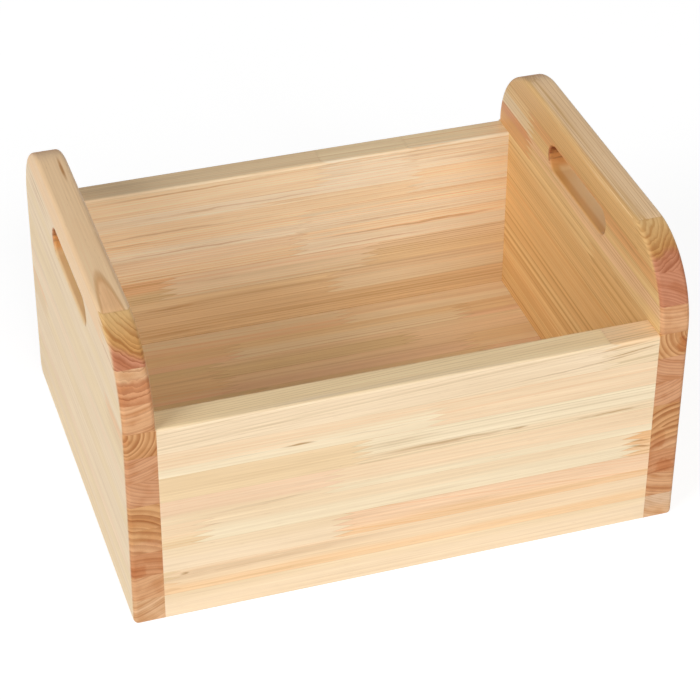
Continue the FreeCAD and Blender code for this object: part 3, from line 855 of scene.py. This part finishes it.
def makeDowelWood():
    material, tree = newMaterial("dowelWood")
    where = addNode(tree, "ShaderNodeTexCoord").outputs
    place = vectorMaths(tree, "MULTIPLY", where["Object"], (1 / mm, 1 / mm, 1 / mm))
    fibre = noise(tree, place, dowelLook["fibreGrain"], 3.0)
    fleck = ramp(tree, noise(tree, place, dowelLook["fleckGrain"]), 0.6, 0.7)
    fleck = maths(tree, "MULTIPLY", fleck, dowelLook["fleckStrength"])
    colour = mixColour(tree, fibre, linear(dowelLook["light"]), linear(dowelLook["dark"]))
    colour = mixColour(tree, fleck, colour, linear(dowelLook["fleck"]))
    bump = addNode(tree, "ShaderNodeBump", {
        "Strength": dowelLook["bumpStrength"], "Distance": dowelLook["bumpDepth"],
        "Height": fibre}).outputs[0]
    shader = addNode(tree, "ShaderNodeBsdfPrincipled", {
        "Base Color": colour, "Roughness": ramp(tree, fibre, 0.2, 0.8, *dowelLook["roughness"]),
        "Normal": bump})
    addNode(tree, "ShaderNodeOutputMaterial", {"Surface": shader.outputs[0]})
    return material


dowelWood = makeDowelWood()
for name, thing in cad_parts.items():
    if name.startswith("dowels_"):
        setMaterial(thing, dowelWood)
print("dowels:", sum(n.startswith("dowels_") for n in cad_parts), "groups")

# Camera, light and floor
view = {
    "location": (-0.39546, -1.22574, 0.99211),
    "turn": (55.75, -0.165, -17.713),     # degrees
    "lens": 122.64,
    "sensor": 36.0,
    "shift": (0.0112, -0.0740),
}
light = {
    "left": {"azimuth": -65, "elevation": 28, "distance": 5.0, "size": 2.5, "power": 125.0},
    "front": {"azimuth": 5, "elevation": 28, "distance": 5.0, "size": 2.5, "power": 116.0},
    "around": 0.19,
    "target": (0, 0, 0.1),                # the middle of the bin
}
floorLook = {"size": 12.0, "albedo": 0.8, "seenDiffuse": 0.35, "seenGlow": 0.82}


def makeCamera():
    data = bpy.data.cameras.new("camera")
    data.lens = view["lens"]
    data.sensor_width = view["sensor"]
    data.shift_x, data.shift_y = view["shift"]
    camera = bpy.data.objects.new("camera", data)
    camera.location = view["location"]
    camera.rotation_euler = [math.radians(a) for a in view["turn"]]
    bpy.context.scene.collection.objects.link(camera)
    bpy.context.scene.camera = camera


def addSoftbox(name, azimuth, elevation, distance, size, power):
    # azimuth 0 is square in front of the bin, minus is to its left
    a, e = math.radians(azimuth), math.radians(elevation)
    away = Vector((math.sin(a) * math.cos(e), -math.cos(a) * math.cos(e), math.sin(e)))
    data = bpy.data.lights.new(name, "AREA")
    data.shape = "SQUARE"
    data.size = size
    data.energy = power
    lamp = bpy.data.objects.new(name, data)
    lamp.location = Vector(light["target"]) + away * distance
    lamp.rotation_euler = away.to_track_quat("Z", "Y").to_euler()
    bpy.context.scene.collection.objects.link(lamp)


def seenByCamera(tree):
    # straight, or in a glossy or clear surface
    rays = addNode(tree, "ShaderNodeLightPath").outputs
    bent = maths(tree, "MAXIMUM", rays["Is Glossy Ray"], rays["Is Transmission Ray"])
    return maths(tree, "MAXIMUM", rays["Is Camera Ray"], bent)


def makeWorld():
    world = bpy.data.worlds.new("studio")
    world.use_nodes = True
    tree = world.node_tree
    tree.nodes.clear()
    seen = seenByCamera(tree)
    strength = mixValue(tree, seen, light["around"], 1.0)
    sky = addNode(tree, "ShaderNodeBackground", {"Color": (1, 1, 1, 1), "Strength": strength})
    addNode(tree, "ShaderNodeOutputWorld", {"Surface": sky.outputs[0]})
    bpy.context.scene.world = world


def makeFloor():
    bpy.ops.object.select_all(action="DESELECT")
    bpy.ops.mesh.primitive_plane_add(size=floorLook["size"], location=(0, 0, 0))
    floor = bpy.context.object
    floor.name = "studioFloor"
    material, tree = newMaterial("studioFloor")
    seen = seenByCamera(tree)
    albedo = mixValue(tree, seen, floorLook["albedo"], floorLook["seenDiffuse"])
    paint = addNode(tree, "ShaderNodeBsdfDiffuse", {"Color": combine(tree, albedo, albedo, albedo)})
    glow = maths(tree, "MULTIPLY", seen, floorLook["seenGlow"])
    glow = addNode(tree, "ShaderNodeEmission", {"Strength": glow})
    both = addNode(tree, "ShaderNodeAddShader", {0: paint.outputs[0], 1: glow.outputs[0]})
    addNode(tree, "ShaderNodeOutputMaterial", {"Surface": both.outputs[0]})
    setMaterial(floor, material)


makeCamera()
addSoftbox("leftSoftbox", **light["left"])
addSoftbox("frontSoftbox", **light["front"])
makeWorld()
makeFloor()
bpy.context.scene.view_settings.view_transform = "Standard"
print("camera, light and floor set")
